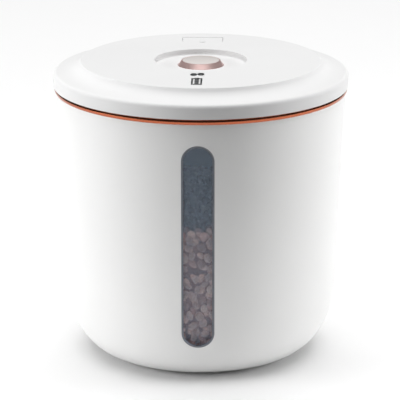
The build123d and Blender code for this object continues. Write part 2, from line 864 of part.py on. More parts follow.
# --- Every node -----------------------------------------------------------------------
nodes = (
    outer_shell,
    inner_bin,
    window_lens,
    window_gasket,
    feet,
    bin_screws,
    kibble_fill,
    lid_top_shell,
    trim_ring,
    lid_inner_cover,
    lid_seal,
    lid_screws,
    button_cap,
    button_ring,
    button_stem,
    button_spring,
    valve_seat,
    valve_poppet,
    valve_washer,
    valve_clip,
    valve_spring,
    circuit_board,
    board_screws,
    press_switch,
    status_marks,
    battery_cells,
    battery_holder,
    port_board,
    charge_port,
    port_cover,
    port_pin,
    motor_can,
    motor_rotor,
    motor_shaft,
    pump_crank,
    pump_housing,
    pump_diaphragm,
    pump_head,
    pump_mounts,
    pump_strap,
    check_valve,
    air_hose,
    filter_grille,
    filter_pad,
)

os.makedirs("parts", exist_ok=True)
for make in nodes:
    export_step(make(), "parts/" + make.__name__ + ".step")
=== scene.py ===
import math

import bmesh
import bpy
from bpy.props import FloatProperty, FloatVectorProperty, IntProperty, PointerProperty
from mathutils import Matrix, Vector


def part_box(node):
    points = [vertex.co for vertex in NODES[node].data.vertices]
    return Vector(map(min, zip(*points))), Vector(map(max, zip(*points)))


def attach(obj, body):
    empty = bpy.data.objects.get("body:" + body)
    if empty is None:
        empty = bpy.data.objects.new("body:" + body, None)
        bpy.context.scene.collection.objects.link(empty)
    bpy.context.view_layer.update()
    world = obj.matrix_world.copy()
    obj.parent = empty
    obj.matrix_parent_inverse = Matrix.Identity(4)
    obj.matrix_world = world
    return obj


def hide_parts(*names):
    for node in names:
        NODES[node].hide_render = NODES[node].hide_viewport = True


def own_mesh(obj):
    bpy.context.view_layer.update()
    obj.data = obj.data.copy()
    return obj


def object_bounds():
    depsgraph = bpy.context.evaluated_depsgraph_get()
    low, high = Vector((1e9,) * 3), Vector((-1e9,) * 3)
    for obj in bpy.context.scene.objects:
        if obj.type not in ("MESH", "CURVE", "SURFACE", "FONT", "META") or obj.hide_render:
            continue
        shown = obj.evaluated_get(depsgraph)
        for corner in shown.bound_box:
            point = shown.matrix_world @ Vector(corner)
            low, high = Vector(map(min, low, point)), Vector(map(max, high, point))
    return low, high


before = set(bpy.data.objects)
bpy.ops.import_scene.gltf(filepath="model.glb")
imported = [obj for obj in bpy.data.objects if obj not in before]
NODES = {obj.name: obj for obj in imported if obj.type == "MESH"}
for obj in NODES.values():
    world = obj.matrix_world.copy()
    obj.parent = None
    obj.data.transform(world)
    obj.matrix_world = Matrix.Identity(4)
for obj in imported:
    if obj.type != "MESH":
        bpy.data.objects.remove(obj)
cad_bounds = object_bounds()

bl_info = {
    "name": "Sealed Food Drum",
    "version": (1, 0, 0),
    "blender": (4, 5, 0),
    "location": "View3D > Sidebar > Food Drum",
    "description": "Finishes, food, screws, feet and status marks of a sealed pet food drum",
    "category": "Object",
}

MM = 0.001


# --- Places that come from the frame ----------------------------------------------------


def top_of(node):
    """Highest point of a CAD node."""
    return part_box(node)[1].z


def bottom_of(node):
    """Lowest point of a CAD node."""
    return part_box(node)[0].z


def islands(node):
    """Centre, lowest and highest corner of each separate solid of a CAD node."""
    mesh = bmesh.new()
    mesh.from_mesh(NODES[node].data)
    bmesh.ops.remove_doubles(mesh, verts=mesh.verts, dist=0.00001)
    seen = set()
    found = []
    for start in mesh.verts:
        if start in seen:
            continue
        stack = [start]
        seen.add(start)
        points = []
        while stack:
            vert = stack.pop()
            points.append(vert.co.copy())
            for edge in vert.link_edges:
                other = edge.other_vert(vert)
                if other not in seen:
                    seen.add(other)
                    stack.append(other)
        low = Vector([min(p[i] for p in points) for i in range(3)])
        high = Vector([max(p[i] for p in points) for i in range(3)])
        found.append(((low + high) / 2, low, high))
    mesh.free()
    return found


FOOD_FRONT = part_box("kibble_fill")[0].y
# Painted light: depths behind the food's front between which the kibble's emission rises to full
# towards the window.
PAINTED_GLOW_STARTS = FOOD_FRONT + 30.5 * MM
PAINTED_GLOW_FULL = FOOD_FRONT + 13.5 * MM


# --- Sizes and colours a user may change --------------------------------------------------


def colour(name, description, default):
    """Colour that the user can pick."""
    return FloatVectorProperty(
        name=name, description=description, default=default, size=3, min=0, max=1, subtype="COLOR"
    )


def length(name, description, default):
    """Length in metres."""
    return FloatProperty(
        name=name, description=description, default=default, min=0, unit="LENGTH", precision=5
    )


def share(name, description, default):
    """Number from 0 to 1."""
    return FloatProperty(
        name=name, description=description, default=default, min=0, max=1, subtype="FACTOR"
    )


class ContainerFinish(bpy.types.PropertyGroup):
    shell: colour("Shell", "Moulded outer shell", (0.86, 0.86, 0.855))
    shell_roughness: share("Shell roughness", "Roughness of the satin shell", 0.34)
    bin_tint: colour("Bin tint", "Clear plastic of the inner bin", (0.985, 0.99, 0.995))
    lens_tint: colour("Lens tint", "Smoked plastic of the sight window", (0.975, 0.975, 0.98))
    gasket: colour("Gasket", "Rubber between window and shell", (0.2, 0.21, 0.24))


class LidFinish(bpy.types.PropertyGroup):
    shell: colour("Lid", "Moulded top of the lid", (0.81, 0.81, 0.81))
    shell_roughness: share("Lid roughness", "Roughness of the lid's top", 0.48)
    trim: colour("Trim", "Anodised trim line", (0.42, 0.12, 0.06))
    ring: colour("Button ring", "Polished ring round the button", (0.93, 0.66, 0.63))
    cap: colour("Button", "Pressed face of the button", (0.93, 0.88, 0.85))
    underside: colour("Underside", "Inner cover under the lid", (0.74, 0.75, 0.77))


class FoodLook(bpy.types.PropertyGroup):
    spacing: length("Spacing", "Least distance between two pieces' centres", 0.0073)
    size: length("Size", "Half the width of one piece", 0.0046)
    dark: colour("Dark pieces", "Darkest kibble", (0.47, 0.25, 0.2))
    light: colour("Light pieces", "Lightest kibble", (1.0, 0.76, 0.64))
    # Painted light: emission on the food by the window, standing in for light that the pale walls
    # let through.
    painted_glow: share("Glow", "Light that the pale walls let through to the food by the window", 0.34)
    seed: IntProperty(name="Seed", description="Chooses where the pieces lie", default=7)


class StatusLook(bpy.types.PropertyGroup):
    mark: colour("Marks", "Printed status marks", (0.045, 0.047, 0.05))
    stroke: length("Stroke", "Width of the cell symbol's outline", 0.0015)


class StudioLook(bpy.types.PropertyGroup):
    focal: FloatProperty(name="Focal length", description="In millimetres", default=221.4)
    distance: length("Distance", "From the camera to the point it looks at", 2.38)
    pitch: FloatProperty(
        name="Pitch", description="Height angle of the camera", default=0.294, subtype="ANGLE"
    )
    turn: FloatProperty(
        name="Turn", description="The camera's turn to the right", default=0.021, subtype="ANGLE"
    )
    floor: colour("Floor", "Plain pale floor", (0.93, 0.93, 0.93))
    near: FloatProperty(
        name="Near edge",
        description="Floor in front of this throws no light up",
        default=-0.45,
        unit="LENGTH",
    )


# --- Materials -----------------------------------------------------------------------------


class NodeTree:
    """Adds and links the nodes of self.tree."""

    def add(self, kind, **settings):
        node = self.tree.nodes.new(kind)
        for key, value in settings.items():
            setattr(node, key, value)
        return node

    def link(self, start, output, end, socket):
        self.tree.links.new(start.outputs[output], end.inputs[socket])


class Finish(NodeTree):
    """A node material that is built up one step at a time."""

    def __init__(self, name):
        self.material = bpy.data.materials.new(name)
        self.material.use_nodes = True
        self.tree = self.material.node_tree
        self.tree.nodes.clear()
        self.out = self.add("ShaderNodeOutputMaterial")
        self.shader = self.add("ShaderNodeBsdfPrincipled")
        self.link(self.shader, "BSDF", self.out, "Surface")
        self.coords = self.add("ShaderNodeTexCoord")

    def set(self, **values):
        """Sets sockets of the main shader; a name's underscores stand for spaces."""
        for key, value in values.items():
            self.shader.inputs[key.replace("_", " ")].default_value = value
        return self

    def noise(self, scale, detail=3.0, stretch=(1, 1, 1)):
        """Noise on the piece's own coordinates."""
        mapping = self.add("ShaderNodeMapping")
        mapping.inputs["Scale"].default_value = stretch
        texture = self.add("ShaderNodeTexNoise")
        texture.inputs["Scale"].default_value = scale
        texture.inputs["Detail"].default_value = detail
        self.link(self.coords, "Object", mapping, "Vector")
        self.link(mapping, "Vector", texture, "Vector")
        return texture

    def ramp(self, source, output, stops):
        """Colour ramp with (position, colour) stops."""
        ramp = self.add("ShaderNodeValToRGB")
        ramp.color_ramp.elements[0].position = stops[0][0]
        ramp.color_ramp.elements[0].color = (*stops[0][1], 1)
        ramp.color_ramp.elements[1].position = stops[-1][0]
        ramp.color_ramp.elements[1].color = (*stops[-1][1], 1)
        for position, value in stops[1:-1]:
            ramp.color_ramp.elements.new(position).color = (*value, 1)
        self.link(source, output, ramp, "Fac")
        return ramp

    def mottled(self, base, spread, scale, stretch=(1, 1, 1)):
        """Base colour that varies by spread either way."""
        low = tuple(max(0, c * (1 - spread)) for c in base)
        high = tuple(min(1, c * (1 + spread)) for c in base)
        ramp = self.ramp(self.noise(scale, 4.0, stretch), "Fac", ((0.3, low), (0.7, high)))
        self.link(ramp, "Color", self.shader, "Base Color")
        return self

    def rough(self, middle, spread, scale, stretch=(1, 1, 1)):
        """Roughness that varies by spread either way."""
        limits = self.add("ShaderNodeMapRange")
        limits.inputs["To Min"].default_value = max(0.02, middle - spread)
        limits.inputs["To Max"].default_value = min(1, middle + spread)
        self.link(self.noise(scale, 3.0, stretch), "Fac", limits, "Value")
        self.link(limits, "Result", self.shader, "Roughness")
        return self

    def bumpy(self, scale, strength, depth, stretch=(1, 1, 1), detail=2.0):
        """Fine relief; depth is in metres."""
        bump = self.add("ShaderNodeBump")
        bump.inputs["Strength"].default_value = strength
        bump.inputs["Distance"].default_value = depth
        self.link(self.noise(scale, detail, stretch), "Fac", bump, "Height")
        self.link(bump, "Normal", self.shader, "Normal")
        return self


def moulded(name, base, roughness, coat=0.0, gloss=0.5, grain=350.0):
    """Injection-moulded plastic with a fine satin grain."""
    finish = Finish(name).mottled(base, 0.012, 9.0).rough(roughness, 0.03, 60.0)
    finish.bumpy(grain, 0.05, 0.00003)
    finish.set(Coat_Weight=coat, Coat_Roughness=0.12, Specular_IOR_Level=gloss)
    return finish.material


def rubbery(name, base):
    """Matt rubber or silicone with a slight bloom."""
    finish = Finish(name).mottled(base, 0.09, 70.0).rough(0.66, 0.08, 160.0)
    return finish.bumpy(900.0, 0.3, 0.00012).set(Specular_IOR_Level=0.35).material


def metallic(name, base, roughness, stretch=(1, 1, 1), bump=0.04, whole=1.0):
    """Bare, anodised or lacquered metal; stretch draws its grain out along an axis."""
    finish = Finish(name).mottled(base, 0.04, 90.0, stretch).rough(roughness, 0.04, 420.0, stretch)
    return finish.bumpy(1500.0, bump, 0.00003, stretch).set(Metallic=whole).material


def clear_plastic(name, tint, haze, haze_colour, mirror):
    """Tinted see-through plastic with a little haze; mirror is what it reflects face on."""
    finish = Finish(name)
    finish.mottled(haze_colour, 0.05, 25.0).rough(0.3, 0.05, 80.0)
    through = finish.add("ShaderNodeBsdfTransparent")
    denser = tuple(c * 0.985 for c in tint)
    shades = finish.ramp(finish.noise(30.0), "Fac", ((0.3, denser), (0.7, tint)))
    finish.link(shades, "Color", through, "Color")
    veil = finish.add("ShaderNodeMixShader")
    veil.inputs["Fac"].default_value = haze
    gloss = finish.add("ShaderNodeBsdfGlossy")
    gloss.inputs["Color"].default_value = (0.72, 0.86, 1.0, 1)
    gloss.inputs["Roughness"].default_value = 0.05
    glance = finish.add("ShaderNodeLayerWeight")
    grazing = finish.add("ShaderNodeMath", operation="POWER")
    grazing.inputs[1].default_value = 5.0
    mirrored = finish.add("ShaderNodeMath", operation="MULTIPLY_ADD")
    mirrored.inputs[1].default_value = 1 - mirror
    mirrored.inputs[2].default_value = mirror
    skin = finish.add("ShaderNodeMixShader")
    finish.link(through, "BSDF", veil, 1)
    finish.link(finish.shader, "BSDF", veil, 2)
    finish.link(glance, "Facing", grazing, 0)
    finish.link(grazing, "Value", mirrored, 0)
    finish.link(mirrored, "Value", skin, "Fac")
    finish.link(veil, "Shader", skin, 1)
    finish.link(gloss, "BSDF", skin, 2)
    finish.link(skin, "Shader", finish.out, "Surface")
    return finish.material


def circuit(name):
    """Green solder mask with paler tracks."""
    finish = Finish(name)
    tracks = finish.add("ShaderNodeTexBrick")
    tracks.inputs["Scale"].default_value = 160.0
    tracks.inputs["Color1"].default_value = (0.012, 0.16, 0.06, 1)
    tracks.inputs["Color2"].default_value = (0.016, 0.2, 0.075, 1)
    tracks.inputs["Mortar"].default_value = (0.05, 0.33, 0.13, 1)
    finish.link(finish.coords, "Object", tracks, "Vector")
    finish.link(tracks, "Color", finish.shader, "Base Color")
    finish.rough(0.35, 0.06, 300.0).bumpy(600.0, 0.2, 0.00005)
    return finish.material


def kibble_finish(name, look, painted_glow):
    """Baked dry food: each piece has its own tone; painted light, an emission standing in for light
    through the pale walls, shows close to the window, with painted shade in the crevices.
    """
    finish = Finish(name)
    tone = finish.add("ShaderNodeAttribute", attribute_name="tone")
    dark, light = tuple(look.dark), tuple(look.light)
    middle = tuple((a + b) / 2 for a, b in zip(dark, light))
    base = finish.ramp(tone, "Fac", ((0.0, dark), (0.55, middle), (0.93, middle), (1.0, light)))
    dust, bare = (0.62, 0.6, 0.58), (1.0, 1.0, 1.0)
    specks = finish.ramp(finish.noise(900.0, 5.0), "Fac", ((0.35, dust), (0.62, bare)))
    mix = finish.add("ShaderNodeMix", data_type="RGBA", blend_type="MULTIPLY")
    mix.inputs["Factor"].default_value = 0.75
    finish.link(base, "Color", mix, "A")
    finish.link(specks, "Color", mix, "B")
    finish.link(mix, "Result", finish.shader, "Base Color")
    # Painted light: the food's colour is also the colour of its emission.
    finish.link(mix, "Result", finish.shader, "Emission Color")
    # Painted light: the emission grows from nothing to full strength towards the window front.
    place = finish.add("ShaderNodeSeparateXYZ")
    near = finish.add("ShaderNodeMapRange")
    near.inputs["From Min"].default_value = PAINTED_GLOW_STARTS
    near.inputs["From Max"].default_value = PAINTED_GLOW_FULL
    near.inputs["To Max"].default_value = painted_glow
    finish.link(finish.coords, "Object", place, "Vector")
    finish.link(place, "Y", near, "Value")
    # Painted shade: ambient occlusion dims the emission in the crevices between the pieces.
    crevice_shade = finish.add("ShaderNodeAmbientOcclusion", samples=8)
    crevice_shade.inputs["Distance"].default_value = look.size * 1.5
    crevice_shade_sharpened = finish.add("ShaderNodeMath", operation="POWER")
    crevice_shade_sharpened.inputs[1].default_value = 1.6
    painted_glow_strength = finish.add("ShaderNodeMath", operation="MULTIPLY")
    finish.link(crevice_shade, "AO", crevice_shade_sharpened, 0)
    finish.link(near, "Result", painted_glow_strength, 0)
    finish.link(crevice_shade_sharpened, "Value", painted_glow_strength, 1)
    finish.link(painted_glow_strength, "Value", finish.shader, "Emission Strength")
    finish.rough(0.72, 0.12, 400.0).bumpy(700.0, 0.8, 0.0005, detail=5.0)
    return finish.material


def wear(node, material):
    """Puts a material in a CAD node's slots."""
    mesh = NODES[node].data
    mesh.materials.clear()
    mesh.materials.append(material)


# --- Meshes --------------------------------------------------------------------------------


def new_object(name, mesh):
    """Object with that mesh, linked to the scene."""
    piece = bpy.data.objects.new(name, mesh)
    bpy.context.scene.collection.objects.link(piece)
    return piece


def finished(name, mesh, material, body, replaced=()):
    """Links a mesh as a piece, with its material, body and the CAD nodes it stands for."""
    mesh.materials.clear()
    mesh.materials.append(material)
    piece = new_object(name, mesh)
    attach(piece, body)
    if replaced:
        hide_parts(*replaced)
    return piece


def lathe(profile, steps):
    """Closed mesh turned about Z from (radius, height) points; ends at radius 0 are poles."""
    mesh = bmesh.new()
    rings = []
    for radius, height in profile:
        if radius == 0:
            rings.append([mesh.verts.new((0, 0, height))])
            continue
        angles = [2 * math.pi * i / steps for i in range(steps)]
        rings.append(
            [mesh.verts.new((radius * math.cos(a), radius * math.sin(a), height)) for a in angles]
        )
    for first, second in zip(rings, rings[1:]):
        for i in range(steps):
            j = (i + 1) % steps
            corners = [first[i % len(first)], first[j % len(first)]]
            corners += [second[j % len(second)], second[i % len(second)]]
            unique = list(dict.fromkeys(corners))
            if len(unique) > 2:
                mesh.faces.new(unique)
    bmesh.ops.recalc_face_normals(mesh, faces=mesh.faces)
    return mesh


def slab(mesh, outline, low, high):
    """Adds a flat plate with that outline between two heights."""
    lower = [mesh.verts.new((x, y, low)) for x, y in outline]
    upper = [mesh.verts.new((x, y, high)) for x, y in outline]
    mesh.faces.new(upper)
    mesh.faces.new(list(reversed(lower)))
    for i in range(len(outline)):
        j = (i + 1) % len(outline)
        mesh.faces.new((lower[i], lower[j], upper[j], upper[i]))


def rounded_outline(cx, cy, width, depth, radius, steps=6):
    """Rectangle with round corners, counter-clockwise."""
    points = []
    for quarter, (sx, sy) in enumerate(((1, 1), (-1, 1), (-1, -1), (1, -1))):
        x = cx + sx * (width / 2 - radius)
        y = cy + sy * (depth / 2 - radius)
        for i in range(steps + 1):
            a = math.pi / 2 * (quarter + i / steps)
            points.append((x + radius * math.cos(a), y + radius * math.sin(a)))
    return points


def oval_outline(cx, cy, width, depth, steps=32):
    """Ellipse, counter-clockwise."""
    angles = [2 * math.pi * i / steps for i in range(steps)]
    return [(cx + width / 2 * math.cos(a), cy + depth / 2 * math.sin(a)) for a in angles]


def to_mesh(name, built, smooth=True, crease=math.radians(35)):
    """Plain mesh from a bmesh, shaded smooth but for its sharp edges."""
    mesh = bpy.data.meshes.new(name)
    for edge in built.edges:
        if len(edge.link_faces) == 2 and edge.calc_face_angle(0) > crease:
            edge.smooth = False
    for face in built.faces:
        face.smooth = smooth
    built.to_mesh(mesh)
    built.free()
    return mesh


def cut(mesh, cutter):
    """Mesh with the cutter's form taken out of it."""
    body = new_object("cut_body", mesh)
    tool = new_object("cut_tool", cutter)
    modifier = body.modifiers.new("cut", "BOOLEAN")
    modifier.operation = "DIFFERENCE"
    modifier.solver = "EXACT"
    modifier.object = tool
    graph = bpy.context.evaluated_depsgraph_get()
    result = bpy.data.meshes.new_from_object(body.evaluated_get(graph))
    bpy.data.objects.remove(body)
    bpy.data.objects.remove(tool)
    return result


# --- Geometry Nodes --------------------------------------------------------------------------


class Growth(NodeTree):
    """A geometry tree with named inputs, whose result becomes a plain mesh."""

    def __init__(self, name, sockets):
        self.tree = bpy.data.node_groups.new(name, "GeometryNodeTree")
        face = self.tree.interface
        face.new_socket("Geometry", in_out="INPUT", socket_type="NodeSocketGeometry")
        for label, kind in sockets:
            face.new_socket(label, in_out="INPUT", socket_type="NodeSocket" + kind)
        face.new_socket("Geometry", in_out="OUTPUT", socket_type="NodeSocketGeometry")
        self.source = self.add("NodeGroupInput")
        self.sink = self.add("NodeGroupOutput")

    def close(self, geometry, output="Geometry"):
        """Realizes the instances, sets the material and ends the tree."""
        real = self.add("GeometryNodeRealizeInstances")
        smooth = self.add("GeometryNodeSetShadeSmooth")
        dress = self.add("GeometryNodeSetMaterial")
        self.link(geometry, output, real, "Geometry")
        self.link(real, "Geometry", smooth, "Geometry")
        self.link(smooth, "Geometry", dress, "Geometry")
        self.link(self.source, "Material", dress, "Material")
        self.link(dress, "Geometry", self.sink, "Geometry")

    def grow(self, base, values):
        """Runs the tree on a base mesh and gives the result as a plain mesh."""
        piece = new_object("growth_base", base)
        modifier = piece.modifiers.new(self.tree.name, "NODES")
        modifier.node_group = self.tree
        for item in self.tree.interface.items_tree:
            if item.in_out == "INPUT" and item.name in values:
                modifier[item.identifier] = values[item.name]
        graph = bpy.context.evaluated_depsgraph_get()
        result = bpy.data.meshes.new_from_object(
            piece.evaluated_get(graph), preserve_all_data_layers=True, depsgraph=graph
        )
        bpy.data.objects.remove(piece)
        return result


def copies_at_points():
    """Tree that sets a copy of one object on every point of the base mesh."""
    growth = Growth("copies_at_points", (("Part", "Object"), ("Material", "Material")))
    part = growth.add("GeometryNodeObjectInfo", transform_space="ORIGINAL")
    place = growth.add("GeometryNodeInstanceOnPoints")
    growth.link(growth.source, "Part", part, "Object")
    growth.link(growth.source, "Geometry", place, "Points")
    growth.link(part, "Geometry", place, "Instance")
    growth.close(place, "Instances")
    return growth


def points_mesh(points):
    """Mesh of loose points for copies to stand on."""
    mesh = bpy.data.meshes.new("points")
    mesh.from_pydata([tuple(p) for p in points], [], [])
    return mesh


def food_scatter():
    """Tree that lays lumps of several shapes on the base surface, each with a tone of its own."""
    sockets = (("Spacing", "Float"), ("Size", "Float"), ("Seed", "Int"), ("Material", "Material"))
    growth = Growth("food_scatter", sockets)
    scatter = growth.add("GeometryNodeDistributePointsOnFaces", distribute_method="POISSON")
    scatter.inputs["Density Max"].default_value = 60000.0  # tries per square metre
    growth.link(growth.source, "Geometry", scatter, "Mesh")
    growth.link(growth.source, "Spacing", scatter, "Distance Min")
    growth.link(growth.source, "Seed", scatter, "Seed")

    shapes = growth.add("GeometryNodeJoinGeometry")
    flatness = (0.62, 0.74, 0.55, 0.68)
    for kind, flat in enumerate(flatness):
        ball = growth.add("GeometryNodeMeshIcoSphere")
        ball.inputs["Radius"].default_value = 1.0
        ball.inputs["Subdivisions"].default_value = 2
        lump = growth.add("ShaderNodeTexNoise", noise_dimensions="4D")
        lump.inputs["W"].default_value = 3.7 * kind
        lump.inputs["Scale"].default_value = 0.9
        centred = growth.add("ShaderNodeVectorMath", operation="SUBTRACT")
        centred.inputs[1].default_value = (0.5, 0.5, 0.5)
        scaled = growth.add("ShaderNodeVectorMath", operation="SCALE")
        scaled.inputs["Scale"].default_value = 0.9
        bend = growth.add("GeometryNodeSetPosition")
        squeeze = growth.add("GeometryNodeTransform")
        squeeze.inputs["Scale"].default_value = (1.0, 0.9, flat)
        wrap = growth.add("GeometryNodeGeometryToInstance")
        growth.link(lump, "Color", centred, 0)
        growth.link(centred, "Vector", scaled, 0)
        growth.link(ball, "Mesh", bend, "Geometry")
        growth.link(scaled, "Vector", bend, "Offset")
        growth.link(bend, "Geometry", squeeze, "Geometry")
        growth.link(squeeze, "Geometry", wrap, "Geometry")
        growth.link(wrap, "Instances", shapes, "Geometry")

    which = growth.add("FunctionNodeRandomValue", data_type="INT")
    which.inputs[4].default_value = 0
    which.inputs[5].default_value = len(flatness) - 1
    spin = growth.add("FunctionNodeRandomValue", data_type="FLOAT_VECTOR")
    spin.inputs[1].default_value = (2 * math.pi,) * 3
    grade = growth.add("FunctionNodeRandomValue", data_type="FLOAT")
    grade.inputs[2].default_value = 0.78
    grade.inputs[3].default_value = 1.1
    sized = growth.add("ShaderNodeMath", operation="MULTIPLY")
    tone = growth.add("FunctionNodeRandomValue", data_type="FLOAT")
    for offset, random in enumerate((which, spin, grade, tone)):
        shifted = growth.add("ShaderNodeMath", operation="ADD")
        shifted.inputs[1].default_value = 11.0 * (offset + 1)
        growth.link(growth.source, "Seed", shifted, 0)
        growth.link(shifted, "Value", random, "Seed")
    growth.link(grade, 1, sized, 0)
    growth.link(growth.source, "Size", sized, 1)

    lay = growth.add("GeometryNodeInstanceOnPoints")
    lay.inputs["Pick Instance"].default_value = True
    growth.link(scatter, "Points", lay, "Points")
    growth.link(shapes, "Geometry", lay, "Instance")
    growth.link(which, 2, lay, "Instance Index")
    growth.link(spin, 0, lay, "Rotation")
    growth.link(sized, "Value", lay, "Scale")

    keep = growth.add("GeometryNodeStoreNamedAttribute", data_type="FLOAT", domain="INSTANCE")
    keep.inputs["Name"].default_value = "tone"
    growth.link(lay, "Instances", keep, "Geometry")
    growth.link(tone, 1, keep, "Value")
    growth.close(keep)
    return growth


# --- Operators -------------------------------------------------------------------------------


class Step(bpy.types.Operator):
    """Makes or finishes one group of pieces"""

    bl_idname = "food_drum.step"
    bl_label = "Step"
    bl_options = {"REGISTER", "UNDO"}

    def execute(self, context):
        self.make(context.scene)
        return {"FINISHED"}


class PaintContainer(Step):
    """Gives the shell, bin, window and gasket their plastics and rubber"""

    bl_idname = "food_drum.paint_container"
    bl_label = "Container finishes"

    def make(self, scene):
        look = scene.drum_container
        clear = clear_plastic("clear_bin", look.bin_tint, 0.01, (0.5, 0.55, 0.6), 0.012)
        smoked = clear_plastic("smoked_window", look.lens_tint, 0.06, (0.3, 0.4, 0.6), 0.034)
        wear("outer_shell", moulded("satin_white_shell", look.shell, look.shell_roughness))
        wear("inner_bin", clear)
        wear("window_lens", smoked)
        wear("window_gasket", rubbery("window_rubber", look.gasket))


class PaintLid(Step):
    """Gives the lid, trim, button and cover their plastics and metal"""

    bl_idname = "food_drum.paint_lid"
    bl_label = "Lid finishes"

    def make(self, scene):
        look = scene.drum_lid
        white = moulded("satin_white_lid", look.shell, look.shell_roughness, gloss=0.12)
        for node in ("lid_top_shell", "port_cover"):
            wear(node, white)
        wear("trim_ring", metallic("copper_trim", look.trim, 0.2))
        wear("button_ring", metallic("rose_ring", look.ring, 0.3, whole=0.7))
        wear("button_cap", moulded("pearl_button", look.cap, 0.18, coat=0.5))
        under = moulded("inner_cover_plastic", look.underside, 0.38)
        for node in ("lid_inner_cover", "filter_grille"):
            wear(node, under)
        wear("lid_seal", rubbery("seal_silicone", (0.62, 0.65, 0.68)))
        wear("filter_pad", rubbery("filter_foam", (0.55, 0.55, 0.5)))


class PaintWorks(Step):
    """Gives the pieces inside the lid their metals, plastics and circuit board"""

    bl_idname = "food_drum.paint_works"
    bl_label = "Inner works finishes"

    def make(self, scene):
        groups = (
            (moulded("grey_works_plastic", (0.22, 0.23, 0.25), 0.5), (
                "button_stem", "valve_seat", "valve_poppet", "press_switch", "battery_holder",
                "pump_housing", "pump_head", "check_valve",
            )),
            (metallic("clip_steel", (0.66, 0.66, 0.67), 0.2), ("valve_clip",)),
            (metallic("plated_steel", (0.56, 0.56, 0.58), 0.3, (1, 12, 1)), (
                "motor_can", "motor_shaft", "pump_strap", "charge_port", "port_pin", "board_screws",
            )),
            (metallic("wound_rotor", (0.5, 0.26, 0.14), 0.42, (1, 8, 1), 0.3), ("motor_rotor",)),
            (metallic("crank_brass", (0.72, 0.52, 0.24), 0.25), ("pump_crank",)),
            (rubbery("pump_rubber", (0.05, 0.05, 0.055)), ("pump_diaphragm", "pump_mounts")),
            (rubbery("hose_silicone", (0.6, 0.62, 0.64)), ("air_hose", "valve_washer")),
            (moulded("cell_film", (0.06, 0.2, 0.42), 0.22, coat=0.4), ("battery_cells",)),
            (circuit("board_mask"), ("circuit_board", "port_board")),
        )
        for material, nodes in groups:
            for node in nodes:
                wear(node, material)


class WindSprings(Step):
    """Makes the two springs from the CAD coils"""

    bl_idname = "food_drum.wind_springs"
    bl_label = "Springs"

    def make(self, scene):
        steel = metallic("spring_wire", (0.66, 0.66, 0.67), 0.2)
        for node, joint in (("button_spring", "button_press"), ("valve_spring", "valve_open")):
            mesh = NODES[node].data.copy()
            piece = finished(node + "_coil", mesh, steel, "lid", (node,))
            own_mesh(piece)


class PourFood(Step):
    """Fills the bin with two layers of kibble pieces over a plain core"""

    bl_idname = "food_drum.pour_food"
    bl_label = "Dry food"

    def bed(self, depth):
        """The heap's surface, moved inwards by depth."""
        mesh = bmesh.new()
        mesh.from_mesh(NODES["kibble_fill"].data)
        bmesh.ops.remove_doubles(mesh, verts=mesh.verts, dist=0.00002)
        middle = (bottom_of("kibble_fill") + top_of("kibble_fill")) / 2
        low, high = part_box("kibble_fill")
        half = Vector((high.x, high.y, middle - low.z))
        for vert in mesh.verts:
            for i, centre in enumerate((0, 0, middle)):
                vert.co[i] = centre + (vert.co[i] - centre) * (1 - depth / half[i])
        return mesh

    def make(self, scene):
        look = scene.drum_food
        # Painted light: the two outer layers wear the copy that glows by the window.
        material = kibble_finish("baked_kibble_painted_glow", look, look.painted_glow)
        shade = kibble_finish("shaded_kibble", look, 0.0)
        scatter = food_scatter()
        outer = dict(Spacing=look.spacing, Size=look.size, Seed=look.seed, Material=material)
        wall_gap = 0.4 * MM
        layer = scatter.grow(to_mesh("food_bed", self.bed(look.size + wall_gap)), outer)
        finished("kibble", layer, material, "container", ("kibble_fill",))
        inner = dict(outer, Seed=look.seed + 1)
        layer = scatter.grow(to_mesh("food_bed", self.bed(2 * look.size)), inner)
        finished("kibble_behind", layer, material, "container")
        # Painted shade: the core is a plain sheet in the darkest kibble colour without glow, seen
        # in the gaps between the pieces.
        core = self.bed(3.0 * look.size)
        finished("kibble_core", to_mesh("kibble_core", core), shade, "container")


